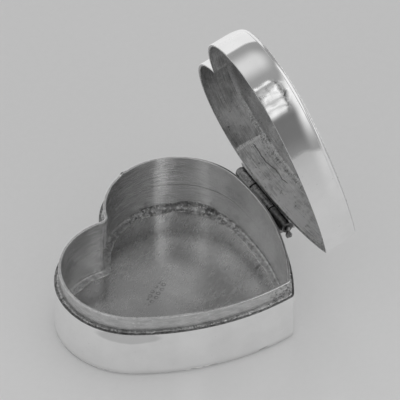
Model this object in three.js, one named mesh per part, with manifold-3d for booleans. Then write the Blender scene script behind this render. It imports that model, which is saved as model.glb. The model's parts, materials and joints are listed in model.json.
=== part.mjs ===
// Heart-shaped silver trinket box with a hinged lid.
//
// Millimetres, +Z up. The origin is on the table, halfway between the centres of the two lobes.
// The point of the heart faces -Y, the cleft faces +Y, and the hinge is on the +X flank.
// The lid is drawn closed and then swung open about the hinge pin by LID_OPEN.

import * as THREE from 'three';
import { mergeVertices } from 'three/addons/utils/BufferGeometryUtils.js';
import Module from 'manifold-3d';

const degrees = THREE.MathUtils.degToRad;

// Plan of the box, measured on the outside of its walls
const LOBE_X = 8.7; // centre of each lobe, left and right of the middle
const LOBE_R = 13.8; // the lobes make the box 45 mm wide
const LOBE_END = degrees(-27); // where a lobe runs into its flank, seen from the lobe's centre
const POINT_Y = -26.3; // point of the heart
const LOBE_STEPS = 26; // facets along one lobe
const FLANK_STEPS = 12; // facets along one flank

// Base
const FLOOR_T = 0.5;
const FLOOR_EDGE_R = 0.35; // rounding under the edge of the floor
const BASE_WALL_T = 0.7;
const BASE_H = 9.6; // ledge that the lid closes onto
const COLLAR_INSET = 0.75; // from the outside of the base to the outside of the collar
const COLLAR_T = 0.5;
const COLLAR_BOTTOM = 6.3;
const COLLAR_TOP = 12.6;

// Lid
const LID_GAP = 0.1; // between the ledge and the rim of the closed lid
const LID_WALL_T = 0.5;
const LID_BAND_H = 5.6;
const LID_TOP_T = 0.5;
const SHOULDER_R = 1.1; // rounding between the lid's wall and its top
const SHOULDER_TURNS = [30, 60, 90].map(degrees); // facets around the shoulder
const DOME_RISE = 1.35; // crown of the lid above its shoulder
const DOME_RINGS = [0.86, 0.66, 0.44, 0.22]; // facets across the dome, as shares of its width
const DOME_CENTRE_Y = -5; // highest point of the dome
const LID_OPEN = degrees(74.3); // how far the lid stands open

// Hinge
const HINGE_HEADING = degrees(35.3); // the pin's direction in plan, from +Y towards +X
const HINGE_OFFSET = 1.7; // pin's centre line outside the widest reach of the wall
const HINGE_Z = 9.1;
const KNUCKLE_R = 1.0;
const BORE_R = 0.5;
const PIN_R = 0.45;
const KNUCKLE_GAP = 0.1; // end play between neighbouring knuckles
const FRONT_KNUCKLE_Y = [-5.5, -0.25]; // along the pin, from the foot of its normal through the origin
const LID_KNUCKLE_Y = [FRONT_KNUCKLE_Y[1] + KNUCKLE_GAP, 6.3];
const REAR_KNUCKLE_Y = [LID_KNUCKLE_Y[1] + KNUCKLE_GAP, 11.4];
const PIN_HEAD_R = 0.85;
const PIN_HEAD_T = 0.75;
const PIN_NECK = 0.75; // bare pin between the front knuckle and the head
const PIN_NOTCH_W = 0.45;
const PIN_NOTCH_DEPTH = 0.4;
const LEAF_CLEARANCE = 0.1; // between a leaf's gutter and the knuckles that turn in it
const LEAF_T = 0.45;
const LEAF_REACH = 3.6; // leaf stock towards the wall, trimmed to the wall's curve
const BASE_LEAF_TOP = -0.1; // above the pin's centre line
const LID_STOP = degrees(105); // opening at which the outer edges of the two leaves meet
const ROUND_STEPS = 32; // facets around the pin and the knuckles
const GUTTER_STEPS = 16;

const SOLDER_FILM = 0.05; // between pieces that are soldered together
const WELD = 1e-4; // points closer than this are one point

// Levels and places that follow from the sizes above
const LID_RIM_Z = BASE_H + LID_GAP;
const LID_TOP_Z = LID_RIM_Z + LID_BAND_H + SOLDER_FILM;
const hingeAcross = new THREE.Vector3(Math.cos(HINGE_HEADING), -Math.sin(HINGE_HEADING), 0);
const hingeAxis = new THREE.Vector3(Math.sin(HINGE_HEADING), Math.cos(HINGE_HEADING), 0);
const flank = flankArc();
const wallReach = flank.centre.x * hingeAcross.x + flank.centre.y * hingeAcross.y + flank.radius;
const hingePoint = hingeAcross.clone().multiplyScalar(wallReach + HINGE_OFFSET).setZ(HINGE_Z);

const wasm = await Module();
wasm.setup();

// ---------------------------------------------------------------- outline of the heart

// A flank is the arc that leaves the lobe without a corner and ends at the point of the heart.
function flankArc() {
  const outward = new THREE.Vector2(Math.cos(LOBE_END), Math.sin(LOBE_END));
  const start = new THREE.Vector2(LOBE_X, 0).addScaledVector(outward, LOBE_R);
  const chord = start.clone().sub(new THREE.Vector2(0, POINT_Y));
  const radius = chord.lengthSq() / (2 * chord.dot(outward));
  const centre = start.clone().addScaledVector(outward, -radius);
  return { centre, radius };
}

function arcPoints(x, y, radius, from, to, steps) {
  return Array.from({ length: steps + 1 }, (_, i) => {
    const angle = from + ((to - from) * i) / steps;
    return new THREE.Vector2(x + radius * Math.cos(angle), y + radius * Math.sin(angle));
  });
}

// Anticlockwise outline, starting at the point. A negative offset lies inside the outer wall.
function heartOutline(offset) {
  const lobeRadius = LOBE_R + offset;
  const flankRadius = flank.radius + offset;
  const pointAngle = -Math.acos(-flank.centre.x / flankRadius);
  const cleftAngle = Math.acos(-LOBE_X / lobeRadius);
  const right = [
    ...arcPoints(flank.centre.x, flank.centre.y, flankRadius, pointAngle, LOBE_END, FLANK_STEPS),
    ...arcPoints(LOBE_X, 0, lobeRadius, LOBE_END, cleftAngle, LOBE_STEPS).slice(1),
  ];
  right[0].x = 0;
  right[right.length - 1].x = 0;
  const left = right.slice(1, -1).reverse().map((p) => new THREE.Vector2(-p.x, p.y));
  return [...right, ...left];
}

// ---------------------------------------------------------------- shaping helpers

function heartPrism(offset, bottom, top) {
  const shape = new THREE.Shape(heartOutline(offset));
  const geometry = new THREE.ExtrudeGeometry(shape, { depth: top - bottom, bevelEnabled: false });
  return geometry.translate(0, 0, bottom);
}

// A strip of sheet that follows the heart, standing on edge.
function heartBand(outerOffset, thickness, bottom, top) {
  const shape = new THREE.Shape(heartOutline(outerOffset));
  shape.holes.push(new THREE.Path(heartOutline(outerOffset - thickness)));
  const geometry = new THREE.ExtrudeGeometry(shape, { depth: top - bottom, bevelEnabled: false });
  return geometry.translate(0, 0, bottom);
}

// A closed skin through loops of points that match one to one, closed by a point at each end.
function loft(startPoint, loops, endPoint) {
  const count = loops[0].length;
  const vertices = [startPoint, ...loops.flat(), endPoint];
  const at = (loop, i) => 1 + loop * count + (i % count);
  const last = loops.length - 1;
  const index = [];
  for (let i = 0; i < count; i += 1) {
    index.push(0, at(0, i), at(0, i + 1));
    for (let loop = 0; loop < last; loop += 1) {
      index.push(at(loop, i), at(loop + 1, i), at(loop + 1, i + 1));
      index.push(at(loop, i), at(loop + 1, i + 1), at(loop, i + 1));
    }
    index.push(vertices.length - 1, at(last, i + 1), at(last, i));
  }
  const geometry = new THREE.BufferGeometry().setFromPoints(vertices);
  geometry.setIndex(index);
  geometry.computeVertexNormals();
  return geometry;
}

function toSolid(geometry) {
  const bare = geometry.clone();
  bare.deleteAttribute('normal');
  bare.deleteAttribute('uv');
  const merged = mergeVertices(bare, WELD);
  const vertProperties = Float32Array.from(merged.attributes.position.array);
  const triVerts = Uint32Array.from(merged.index.array);
  return new wasm.Manifold(new wasm.Mesh({ numProp: 3, vertProperties, triVerts }));
}

function subtract(geometry, cutter) {
  const mesh = toSolid(geometry).subtract(toSolid(cutter)).getMesh();
  const result = new THREE.BufferGeometry();
  result.setAttribute('position', new THREE.BufferAttribute(mesh.vertProperties, 3));
  result.setIndex(new THREE.BufferAttribute(mesh.triVerts, 1));
  result.computeVertexNormals();
  return result;
}

// ---------------------------------------------------------------- base

function baseFloor() {
  const shape = new THREE.Shape(heartOutline(-FLOOR_EDGE_R));
  const geometry = new THREE.ExtrudeGeometry(shape, {
    depth: FLOOR_T - FLOOR_EDGE_R,
    bevelThickness: FLOOR_EDGE_R,
    bevelSize: FLOOR_EDGE_R,
    bevelSegments: 3,
  });
  // Both faces come out rounded, so the upper rounding is cut off level with the floor's top.
  const aboveFloor = heartPrism(1, FLOOR_T, FLOOR_T + 1);
  return subtract(geometry.translate(0, 0, FLOOR_EDGE_R), aboveFloor);
}

function baseBand() {
  return heartBand(0, BASE_WALL_T, FLOOR_T + SOLDER_FILM, BASE_H);
}

function collarBand() {
  return heartBand(-COLLAR_INSET, COLLAR_T, COLLAR_BOTTOM, COLLAR_TOP);
}

// ---------------------------------------------------------------- lid

function lidBand() {
  return heartBand(0, LID_WALL_T, LID_RIM_Z, LID_RIM_Z + LID_BAND_H);
}

// Loops from the rim of the lid's top up over the shoulder and across the dome.
function domeLoops(inset) {
  const shoulderZ = LID_TOP_Z + SHOULDER_R;
  const radius = SHOULDER_R - inset;
  const loops = [heartOutline(-inset).map((p) => new THREE.Vector3(p.x, p.y, LID_TOP_Z))];
  for (const turn of SHOULDER_TURNS) {
    const offset = -SHOULDER_R + radius * Math.cos(turn);
    const z = shoulderZ - SHOULDER_R + radius * Math.sin(turn);
    loops.push(heartOutline(offset).map((p) => new THREE.Vector3(p.x, p.y, z)));
  }
  const edge = heartOutline(-SHOULDER_R);
  for (const share of DOME_RINGS) {
    const z = shoulderZ - inset + DOME_RISE * (1 - share ** 2);
    loops.push(edge.map((p) => {
      const y = DOME_CENTRE_Y + (p.y - DOME_CENTRE_Y) * share;
      return new THREE.Vector3(p.x * share, y, z);
    }));
  }
  return loops;
}

function lidTop() {
  const crownZ = LID_TOP_Z + SHOULDER_R + DOME_RISE;
  const inside = domeLoops(LID_TOP_T);
  const outside = domeLoops(0);
  const insideCrown = new THREE.Vector3(0, DOME_CENTRE_Y, crownZ - LID_TOP_T);
  const outsideCrown = new THREE.Vector3(0, DOME_CENTRE_Y, crownZ);
  return loft(outsideCrown, [...outside.reverse(), ...inside], insideCrown);
}

// ---------------------------------------------------------------- hinge

// A frame on the pin: X away from the box, Y along the pin towards the cleft, Z up.
function hingeFrame() {
  const frame = new THREE.Group();
  frame.position.copy(hingePoint);
  frame.rotation.z = -HINGE_HEADING;
  return frame;
}

function knuckle([from, to]) {
  const section = [[BORE_R, from], [KNUCKLE_R, from], [KNUCKLE_R, to], [BORE_R, to], [BORE_R, from]];
  return new THREE.LatheGeometry(section.map(([r, y]) => new THREE.Vector2(r, y)), ROUND_STEPS);
}

// The pin is flush with the rear knuckle. Its front end is spread into a head with a notch across it.
function hingePin() {
  const headTop = FRONT_KNUCKLE_Y[0] - PIN_NECK;
  const headEnd = headTop - PIN_HEAD_T;
  const spread = (PIN_HEAD_R - PIN_R) / 2;
  const section = [
    [0, headEnd],
    [PIN_HEAD_R, headEnd],
    [PIN_HEAD_R, headTop - spread],
    [PIN_R, headTop],
    [PIN_R, REAR_KNUCKLE_Y[1]],
    [0, REAR_KNUCKLE_Y[1]],
  ];
  const pin = new THREE.LatheGeometry(section.map(([r, y]) => new THREE.Vector2(r, y)), ROUND_STEPS);
  const notch = new THREE.BoxGeometry(PIN_NOTCH_W, 2 * PIN_NOTCH_DEPTH, 3 * PIN_HEAD_R);
  notch.translate(0, headEnd, 0);
  return subtract(pin, notch);
}

// Section of a leaf in the hinge frame's X and Z: a gutter around the knuckles with a flat back
// towards the wall. side is -1 for the base's leaf, under the pin, and +1 for the lid's, over it.
function leafSection(side, seam) {
  const inner = KNUCKLE_R + LEAF_CLEARANCE;
  const outer = inner + LEAF_T;
  const lip = Math.PI - Math.asin(seam / inner);
  const edge = LID_STOP / 2;
  const gutter = arcPoints(0, 0, inner, lip, edge, GUTTER_STEPS);
  const back = arcPoints(0, 0, outer, edge, Math.PI / 2, GUTTER_STEPS / 2);
  const wallSide = [new THREE.Vector2(-LEAF_REACH, outer), new THREE.Vector2(-LEAF_REACH, seam)];
  const points = [...gutter, ...back, ...wallSide].map((p) => new THREE.Vector2(p.x, side * p.y));
  return new THREE.Shape(points);
}

// The leaf is as long as the three knuckles and is trimmed to the outside of the wall.
function hingeLeaf(side, seam) {
  const [from, to] = [FRONT_KNUCKLE_Y[0], REAR_KNUCKLE_Y[1]];
  const leaf = new THREE.ExtrudeGeometry(leafSection(side, seam), { depth: to - from, bevelEnabled: false });
  leaf.rotateX(Math.PI / 2);
  leaf.translate(0, to, 0);
  leaf.rotateZ(-HINGE_HEADING);
  leaf.translate(hingePoint.x, hingePoint.y, hingePoint.z);
  const wall = heartPrism(SOLDER_FILM, 0, LID_TOP_Z + SHOULDER_R + DOME_RISE);
  return subtract(leaf, wall);
}

// ---------------------------------------------------------------- materials and assembly

const silver = (color, roughness) => new THREE.MeshStandardMaterial({ color, roughness, metalness: 1 });
const POLISHED = silver(0xd8d8d6, 0.12);
const SATIN = silver(0xa9a9a7, 0.35);
const TARNISHED = silver(0x6e6e6c, 0.45);

function part(name, geometry, material) {
  const mesh = new THREE.Mesh(geometry, material);
  mesh.name = name;
  return mesh;
}

const base = new THREE.Group();
base.add(
  part('base_floor', baseFloor(), POLISHED),
  part('base_band', baseBand(), POLISHED),
  part('collar_band', collarBand(), SATIN),
  part('base_hinge_leaf', hingeLeaf(-1, -BASE_LEAF_TOP), TARNISHED),
);
const fixedHinge = hingeFrame();
fixedHinge.add(
  part('front_knuckle', knuckle(FRONT_KNUCKLE_Y), TARNISHED),
  part('rear_knuckle', knuckle(REAR_KNUCKLE_Y), TARNISHED),
  part('hinge_pin', hingePin(), TARNISHED),
);
base.add(fixedHinge);

const closedLid = new THREE.Group();
closedLid.position.copy(hingePoint).negate();
const lidHinge = hingeFrame();
lidHinge.add(part('lid_knuckle', knuckle(LID_KNUCKLE_Y), TARNISHED));
closedLid.add(
  part('lid_band', lidBand(), POLISHED),
  part('lid_top', lidTop(), POLISHED),
  part('lid_hinge_leaf', hingeLeaf(1, LID_RIM_Z - HINGE_Z), TARNISHED),
  lidHinge,
);
const lid = new THREE.Group();
lid.position.copy(hingePoint);
lid.setRotationFromAxisAngle(hingeAxis, LID_OPEN);
lid.add(closedLid);

const box = new THREE.Group();
box.add(base, lid);

export default box;
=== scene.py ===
import json
import math

import bpy
import numpy as np
from mathutils import Matrix, Vector


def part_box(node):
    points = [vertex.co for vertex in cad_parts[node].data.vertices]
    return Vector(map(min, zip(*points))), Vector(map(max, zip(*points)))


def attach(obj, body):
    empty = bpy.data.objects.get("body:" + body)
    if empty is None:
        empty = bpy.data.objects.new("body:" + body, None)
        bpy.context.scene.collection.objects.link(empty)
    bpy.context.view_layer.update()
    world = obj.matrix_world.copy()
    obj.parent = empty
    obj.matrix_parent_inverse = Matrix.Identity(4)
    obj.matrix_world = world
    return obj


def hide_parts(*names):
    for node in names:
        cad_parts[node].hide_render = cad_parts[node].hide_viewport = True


# Looks for a heart-shaped silver trinket box: a base, a hinged lid and the hinge between them.
# Sizes are in millimetres and are turned into metres when a mesh is made. Lid pieces are drawn
# on the closed box and then turned open about the pin.

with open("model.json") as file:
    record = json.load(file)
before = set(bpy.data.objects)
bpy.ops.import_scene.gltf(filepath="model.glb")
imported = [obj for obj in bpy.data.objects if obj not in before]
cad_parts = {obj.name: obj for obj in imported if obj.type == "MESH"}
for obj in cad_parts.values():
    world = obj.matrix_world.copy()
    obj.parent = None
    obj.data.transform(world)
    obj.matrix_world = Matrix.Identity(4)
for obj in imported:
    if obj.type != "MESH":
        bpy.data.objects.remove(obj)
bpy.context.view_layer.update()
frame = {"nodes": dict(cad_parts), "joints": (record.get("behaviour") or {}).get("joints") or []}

MM = 0.001
UP = np.array([0.0, 0.0, 1.0])

# ---------------------- places taken from the frame


def node_points(node):
    mesh = frame["nodes"][node].data
    points = np.empty(len(mesh.vertices) * 3, np.float32)
    mesh.vertices.foreach_get("co", points)
    return points.reshape(-1, 3).astype(float) / MM


hinge = frame["joints"][0]
PIN_POINT = np.array(hinge["pos_m"], float) / MM
PIN_AXIS = np.array(hinge["axis"], float)
PIN_AXIS /= np.linalg.norm(PIN_AXIS)
PIN_OUT = np.array([PIN_AXIS[1], -PIN_AXIS[0], 0.0])
LID_OPEN = -math.radians(hinge["range_deg"][0])


def turn_about_pin(points, angle):
    turn = np.array(Matrix.Rotation(angle, 3, Vector(PIN_AXIS)))
    return (points - PIN_POINT) @ turn.T + PIN_POINT


def span(node):
    """Lowest and highest corner of a node of the base."""
    return [np.array(corner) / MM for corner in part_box(node)]


def closed_span(node):
    """Lowest and highest corner of a lid node with the lid shut."""
    points = turn_about_pin(node_points(node), -LID_OPEN)
    return points.min(0), points.max(0)


def pin_span(node):
    """How far a node reaches along the pin, and away from the pin's centre line."""
    points = node_points(node) - PIN_POINT
    along = points @ PIN_AXIS
    away = np.linalg.norm(points - np.outer(along, PIN_AXIS), axis=1)
    return along.min(), along.max(), away.max()


band_low, band_high = span("base_band")
collar_low, collar_high = span("collar_band")
lid_band_low, lid_band_high = closed_span("lid_band")

LOBE_R = band_high[1]
LOBE_X = band_high[0] - LOBE_R
POINT_Y = band_low[1]
LEDGE_Z = band_high[2]
FLOOR_T = span("base_floor")[1][2]
COLLAR_BOTTOM = collar_low[2]
COLLAR_TOP = collar_high[2]
COLLAR_INSET = band_high[0] - collar_high[0]
LID_RIM_Z = lid_band_low[2]
LID_BAND_TOP = lid_band_high[2]
CROWN_Z = closed_span("lid_top")[1][2]

# ---------------------- sizes the frame doesn't give

# Outline of the heart.
LOBE_END = math.radians(-27)  # where a lobe's arc meets the flank's
TIP_ROUND = 1.3
CLEFT_ROUND = 0.35
LEAST_ROUND = 0.12
TIP_STEPS, FLANK_STEPS, LOBE_STEPS, CLEFT_STEPS = 8, 72, 120, 8

# Base.
FLOOR_EDGE_R = 0.65
FLOOR_ROWS = 70
BASE_WALL_T = 0.7
COLLAR_T = 0.5
NUB_AT, NUB_WIDTH, NUB_H = 54.2, 0.45, 0.32  # a lump of solder on the collar's rim
CREST = 0.15  # how far below the rim the lump starts

# Lid.
LID_WALL_T = 0.5
LID_TOP_T = 0.5
RIM_ROUND = 0.2  # inner corner of the wall's rim
SEAM_Z = LID_BAND_TOP + 0.05
LEAN, LEAN_H = 0.3, 2.4  # the wall leans in by LEAN over its top LEAN_H
LEAN_ANGLE = math.atan(2 * LEAN / LEAN_H)
SHOULDER_R = 1.1
SHOULDER_ROWS = 11
DOME_START = math.radians(9)  # slope at which the shoulder hands over to the dome
DOME_CENTRE = np.array([0.0, -5.0])  # middle of the rings of the dome and of the floor
DENTS_AT, DENTS_SIZE = np.array([-22, -0.6]), np.array([4, 2.6])

# Pressed work on the lid. A scroll is x, y, size, start, turns and hand, and has a mirror twin.
SCROLLS = [
    (9.6, 3.4, 5.2, -2.6, 1.4, 1),
    (5.2, -6.6, 4.2, 2.4, 1.3, -1),
    (13.6, -4.2, 3.6, 1.2, 1.2, -1),
    (3.4, -14.4, 2.8, 2.0, 1.2, -1),
]
SCROLL_W = 0.55
FLOWER_AT = [0, 3.2]
PETALS, PETAL_REACH, PETAL_DEPTH = 6, 2.6, 0.7
BEADS, BEAD_SHARE, BEAD_W = 120, 0.915, 0.014  # the border; shares run from crown to shoulder
RELIEF_H = 0.24

# Solder.
SOLDER_T = 0.13
SOLDER_REACH = 2.4
SOLDER_BITE = 0.03  # how far it goes into the wall
SOLDER_LAP = 0.06  # how far it goes into the plate
HOLLOW = 1.35  # above 1 the fillet is hollower than a quarter circle
ROOM = 0.03  # kept free between the ledge's solder and the shut lid

# Hinge.
RING_STEPS = 64
KNUCKLE_GAP = 0.07
PIN_R = 0.45
HEAD_SHARE = 0.72  # of the CAD pin's head
# Profile of the pin's head: share of its radius, and how far behind the pin's front end.
HEAD = [(0.5, 0), (0.86, 0.03), (1, 0.16), (1, 0.5), (0.86, 0.62)]
HEAD_FREE = 1.5  # length in front of the knuckle, head included
HEAD_BEND = np.array([0, 0, -0.4]) - 0.45 * PIN_OUT
SPLIT_DEPTH, SPLIT_W, SPLIT_REACH = 0.22, 0.3, 0.75
LEAF_INNER, LEAF_OUTER = 1.1, 1.55
LEAF_EDGE = math.radians(54.5)  # where the gutter turns over into the back
LEAF_LEAST = -1.7  # a leaf reaches no further towards the box than this
LEAF_FULL_ROW = 5  # a row that isn't shrunk, as those at the ends are
BASE_SEAM = 0.1  # below the pin's centre line
LEAF_WORN = 0.9  # how far the base's leaf stops short of the front knuckle's end

# Marks. Places on a wall are the length round the heart from its tip, and the length round
# the sheet from the foot of its outside.
STAIN_AT, STAIN_SIZE = (103.3, 8.2), (5.6, 1.25)
NICK = (126.9, 0.15), (128.6, 0.3)
SEAM_AT = 35.2
SEAM = (SEAM_AT, 5.8), (SEAM_AT, 11.9)
CRACK = (SEAM_AT - 0.7, 8.9), (SEAM_AT - 11.5, 8.0)
RUBBED_AT = 46.8
# Places on the floor and the rim are x and y.
PUNCHED_AT, PUNCHED_SIZE = (-1.0, -0.5), (3.6, 0.9)
SMEAR = (13.6, -13.6), (12.2, -13.3)
NUB_PLACE = (12.2, 12.5)
BRUSH_CENTRE = (-17.0, -5.0)
FLANK_WAY = (0.8, -0.6, 0)  # level, towards the flank with the hinge

BRIGHTEST = 0.95  # the colour of clean silver

# ---------------------- outline of the heart


def flank_arc():
    outward = np.array([math.cos(LOBE_END), math.sin(LOBE_END)])
    start = np.array([LOBE_X, 0.0]) + LOBE_R * outward
    chord = start - np.array([0.0, POINT_Y])
    radius = chord @ chord / (2 * chord @ outward)
    return start - radius * outward, radius


FLANK_C, FLANK_R = flank_arc()


def arc(x, y, radius, start, end, steps):
    angles = np.linspace(start, end, steps + 1)
    facing = np.stack([np.cos(angles), np.sin(angles)], 1)
    return np.array([x, y]) + radius * facing, facing


def heart_outline(offset):
    """Anticlockwise points from the tip, and the way the wall faces at each. The same station
    has the same index at every offset; a negative offset lies inside the outer wall."""
    lobe_r = LOBE_R + offset
    flank_r = FLANK_R + offset
    tip_r = max(TIP_ROUND + offset, LEAST_ROUND)
    cleft_r = max(CLEFT_ROUND - offset, LEAST_ROUND)
    tip_y = FLANK_C[1] - math.sqrt((flank_r - tip_r) ** 2 - FLANK_C[0] ** 2)
    tip_end = math.atan2(tip_y - FLANK_C[1], -FLANK_C[0])
    cleft_y = math.sqrt((lobe_r + cleft_r) ** 2 - LOBE_X ** 2)
    lobe_stop = math.atan2(cleft_y, -LOBE_X)
    tip = arc(0, tip_y, tip_r, -math.pi / 2, tip_end, TIP_STEPS)
    flank = arc(*FLANK_C, flank_r, tip_end, LOBE_END, FLANK_STEPS)
    lobe = arc(LOBE_X, 0, lobe_r, LOBE_END, lobe_stop, LOBE_STEPS)
    cleft = arc(0, cleft_y, cleft_r, lobe_stop - math.pi, -math.pi / 2, CLEFT_STEPS)
    cleft = (cleft[0], -cleft[1])
    mirror = np.array([-1.0, 1.0])
    loops = []
    for half in zip(tip, flank, lobe, cleft):
        loop = np.concatenate([half[0]] + [part[1:] for part in half[1:]])
        loops.append(np.concatenate([loop, loop[-2:0:-1] * mirror]))
    return loops


def lengths_around(points):
    """Distance from the first point to each point of a closed loop, and once more round to it."""
    steps = np.linalg.norm(np.diff(np.vstack([points, points[:1]]), axis=0), axis=1)
    return np.concatenate([[0.0], np.cumsum(steps)])


AROUND = lengths_around(heart_outline(0)[0])
STATIONS = len(AROUND) - 1


def bell(centre, width):
    """A smooth hill around the heart, 1 at one distance along the outline."""
    return np.exp(-((AROUND[:-1] - centre) / width) ** 2)


def at_height(flat, height):
    """Points in plan raised to one height, or to a height each."""
    return np.column_stack([flat, np.full(len(flat), height)])


def ring(offset, height):
    return at_height(heart_outline(offset)[0], height)


# ---------------------- mesh helpers


def bumps(points, size, seed):
    """Smooth noise between -1 and 1 at points in mm; size is the width of one bump."""
    table = np.random.default_rng(seed).uniform(-1, 1, (32, 32, 32))
    place = points / size
    cell = np.floor(place).astype(int)
    part = place - cell
    part = part * part * (3 - 2 * part)
    total = np.zeros(points.shape[:-1])
    for corner in np.ndindex(2, 2, 2):
        share = np.prod(np.where(corner, part, 1 - part), axis=-1)
        index = (cell + np.array(corner)) % len(table)
        total += share * table[index[..., 0], index[..., 1], index[..., 2]]
    return total


def unit(vector):
    return vector / np.linalg.norm(vector)


def corner_arc(before, here, after, radius, steps=4):
    """Points that round off one corner of a section."""
    come, leave = unit(before - here), unit(after - here)
    half = math.acos(np.clip(come @ leave, -1, 1)) / 2
    reach = radius / math.tan(half)
    centre = here + unit(come + leave) * radius / math.sin(half)
    start = here + come * reach - centre
    end = here + leave * reach - centre
    first = math.atan2(start[1], start[0])
    turn = math.atan2(end[1], end[0]) - first
    turn = (turn + math.pi) % (2 * math.pi) - math.pi
    return arc(*centre, radius, first, first + turn, steps)[0]


def rounded_section(corners, step, near=0.06):
    """Closed loop of points with rounded corners. A corner is (x, y, radius, finish), where
    finish is the material number of the side that follows it. A long side has points near
    both its ends and about every step between. Returns points and finishes."""
    spots = [np.array(corner[:2], float) for corner in corners]
    after = spots[1:] + spots[:1]
    arcs = [corner_arc(spots[i - 1], spots[i], after[i], corner[2])
            for i, corner in enumerate(corners)]
    points, finishes = [], []
    for corner, here, following in zip(corners, arcs, arcs[1:] + arcs[:1]):
        end, far = here[-1], following[0]
        points += list(here)
        length = np.linalg.norm(far - end)
        if length > 3 * near:
            count = max(1, math.ceil((length - 2 * near) / step)) + 1
            shares = np.linspace(near / length, 1 - near / length, count)
            points += [end + (far - end) * share for share in shares]
        finishes += [corner[3]] * (len(points) - len(finishes))
    return np.array(points), finishes


def lengths_across(grid):
    """Mean distance from the first row of a grid to each row."""
    steps = np.linalg.norm(np.diff(grid, axis=0), axis=2).mean(1)
    return np.concatenate([[0.0], np.cumsum(steps)])


class Skin:
    """Gathers the points, faces, UVs and face materials of one piece."""

    def __init__(self):
        self.points = []
        self.faces = []
        self.uvs = []
        self.finishes = []
        self.count = 0

    def add_points(self, points):
        points = np.asarray(points, float).reshape(-1, 3)
        first = self.count
        self.points.append(points)
        self.count += len(points)
        return first

    def add_rows(self, grid, u, v, finishes, closed=True):
        """Quads between rows of points; every row is a closed loop. u has one more value than
        a row has points, v has one value a row (one more where the rows close up)."""
        rows, around = grid.shape[:2]
        first = self.add_points(grid)
        for row in range(rows if closed else rows - 1):
            low = first + row * around
            high = first + (row + 1) % rows * around
            for i in range(around):
                j = (i + 1) % around
                self.faces.append((low + i, low + j, high + j, high + i))
                self.uvs += [(u[i], v[row]), (u[i + 1], v[row]),
                             (u[i + 1], v[row + 1]), (u[i], v[row + 1])]
                self.finishes.append(finishes[row])
        return first

    def add_fan(self, tip, first, u, v, v_tip, finish, up):
        """Triangles from a loop of points already added to one new point."""
        centre = self.add_points([tip])
        around = len(u) - 1
        for i in range(around):
            edge = [(first + i, u[i]), (first + (i + 1) % around, u[i + 1])]
            (a, u_a), (b, u_b) = edge if up else edge[::-1]
            self.faces.append((a, b, centre))
            self.uvs += [(u_a, v), (u_b, v), ((u_a + u_b) / 2, v_tip)]
            self.finishes.append(finish)

    def add_rows_and_tips(self, grid, u, v, finishes, tips, beyond):
        """Rows whose first and last loop are each closed by a fan; beyond is how far the two
        tips lie past the rows in the UVs."""
        first = self.add_rows(grid, u, v, finishes, closed=False)
        last = first + (len(grid) - 1) * grid.shape[1]
        self.add_fan(tips[0], first, u, v[0], v[0] - beyond[0], finishes[0], False)
        self.add_fan(tips[1], last, u, v[-1], v[-1] + beyond[1], finishes[-1], True)

    def add_cap(self, first, flat, reverse):
        """One flat face across a loop of points already added; flat holds its UVs."""
        order = list(range(len(flat)))
        if reverse:
            order.reverse()
        self.faces.append(tuple(first + i for i in order))
        self.uvs += [tuple(flat[i]) for i in order]
        self.finishes.append(0)

    def build(self, name, body, materials, node=None):
        """Makes the piece, which stands for a CAD node unless it is solder."""
        points = np.concatenate(self.points)
        if body == "lid":
            points = turn_about_pin(points, LID_OPEN)
        mesh = bpy.data.meshes.new(name)
        mesh.from_pydata((points * MM).tolist(), [], self.faces)
        layer = mesh.uv_layers.new(name="UVMap")
        layer.data.foreach_set("uv", np.array(self.uvs, np.float32).ravel())
        for material in materials:
            mesh.materials.append(material)
        mesh.polygons.foreach_set("material_index", np.array(self.finishes, np.int32))
        mesh.shade_smooth()
        mesh.update()
        piece = bpy.data.objects.new(name, mesh)
        bpy.context.scene.collection.objects.link(piece)
        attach(piece, body)
        if node:
            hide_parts(node)
        return piece


def store(piece, name, values):
    """Keeps a number for each point of a piece, for its material to read."""
    attribute = piece.data.attributes.new(name, "FLOAT", "POINT")
    attribute.data.foreach_set("value", np.asarray(values, np.float32))


def hand_finish(depth, seed):
    """The slight unevenness of a wall that was bent and filed by hand."""
    def push(spots):
        broad = bumps(spots * [1, 1, 0.6], 7.0, seed)
        fine = bumps(spots * [1, 1, 0.5], 2.6, seed + 1)
        return depth * (broad + 0.25 * fine)
    return push


# ---------------------- node helpers


class Value:
    """A number worked out by a node tree. Arithmetic on it adds nodes to the tree."""

    def __init__(self, tree, socket):
        self.tree = tree
        self.socket = socket

    def __add__(self, other):
        return self.tree.calc("ADD", self, other)

    def __sub__(self, other):
        return self.tree.calc("SUBTRACT", self, other)

    def __rsub__(self, other):
        return self.tree.calc("SUBTRACT", other, self)

    def __mul__(self, other):
        return self.tree.calc("MULTIPLY", self, other)

    def __abs__(self):
        return self.tree.calc("ABSOLUTE", self)

    def remap(self, low, high, to_low=0.0, to_high=1.0):
        """Goes smoothly from to_low, at low and below, to to_high, at high and above."""
        inputs = {"Value": self, "From Min": low, "From Max": high,
                  "To Min": to_low, "To Max": to_high}
        made = self.tree.node("ShaderNodeMapRange", inputs, interpolation_type="SMOOTHSTEP")
        return Value(self.tree, made.outputs[0])

    def shade(self, *changes):
        """Multiplied by each level in turn, to the extent of its share."""
        base = self
        for share, level in changes:
            base = base * self.tree.mix(share, 1.0, level)
        return base


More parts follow.
